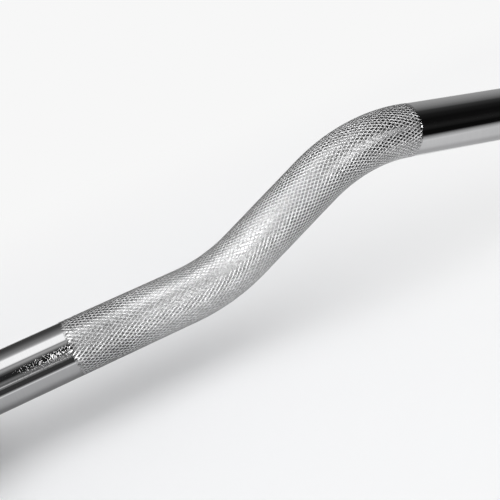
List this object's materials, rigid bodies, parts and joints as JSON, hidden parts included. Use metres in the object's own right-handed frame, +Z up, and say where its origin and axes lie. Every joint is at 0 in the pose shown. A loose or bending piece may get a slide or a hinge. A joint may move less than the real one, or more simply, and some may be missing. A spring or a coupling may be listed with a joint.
{
  "type": "ez curl bar",
  "caption": "W-shaped curl bar: a bent, knurled chrome shaft with a plate sleeve and stop collar turning on bushings at each end.",
  "frame": {"origin": "on the ground below the middle of the shaft; the bar stands on the rims of its two collars", "axes": "+X along the bar, +Z up, the way the two peaks of the shaft point, +Y away from the viewer"},
  "size_m": [1.2002, 0.076, 0.0894],
  "materials": {
    "grip_chrome": "polished chrome plate with a diamond knurl on the grips",
    "sleeve_chrome": "chrome plate over a turned tube",
    "collar_chrome": "chrome plate over a turned ring",
    "end_plate_steel": "satin, turned face",
    "washer_steel": "ground",
    "spring_steel": "blackened spring steel",
    "blackened_screw": "black oxide",
    "bushing_bronze": "oiled sintered bronze",
    "seal_rubber": "matt black"
  },
  "bodies": {
    "shaft_assembly": {"shaft": "grip_chrome", "left_inner_thrust_washer": "washer_steel", "left_outer_thrust_washer": "washer_steel", "left_shaft_circlip": "spring_steel", "right_inner_thrust_washer": "washer_steel", "right_outer_thrust_washer": "washer_steel", "right_shaft_circlip": "spring_steel"},
    "left_sleeve_assembly": {"left_sleeve": "sleeve_chrome", "left_collar": "collar_chrome", "left_collar_grub_screws": "blackened_screw", "left_dust_seal": "seal_rubber", "left_inner_bushing": "bushing_bronze", "left_outer_bushing": "bushing_bronze", "left_end_plate": "end_plate_steel", "left_sleeve_circlip": "spring_steel"},
    "right_sleeve_assembly": {"right_sleeve": "sleeve_chrome", "right_collar": "collar_chrome", "right_collar_grub_screws": "blackened_screw", "right_dust_seal": "seal_rubber", "right_inner_bushing": "bushing_bronze", "right_outer_bushing": "bushing_bronze", "right_end_plate": "end_plate_steel", "right_sleeve_circlip": "spring_steel"}
  },
  "joints": [
    {"name": "left_sleeve_spin", "type": "hinge", "parent": "shaft_assembly", "child": "left_sleeve_assembly", "pos_m": [-0.41815, 0, 0.038], "axis": [1, 0, 0], "continuous": true},
    {"name": "right_sleeve_spin", "type": "hinge", "parent": "shaft_assembly", "child": "right_sleeve_assembly", "pos_m": [0.41815, 0, 0.038], "axis": [1, 0, 0], "continuous": true}
  ]
}
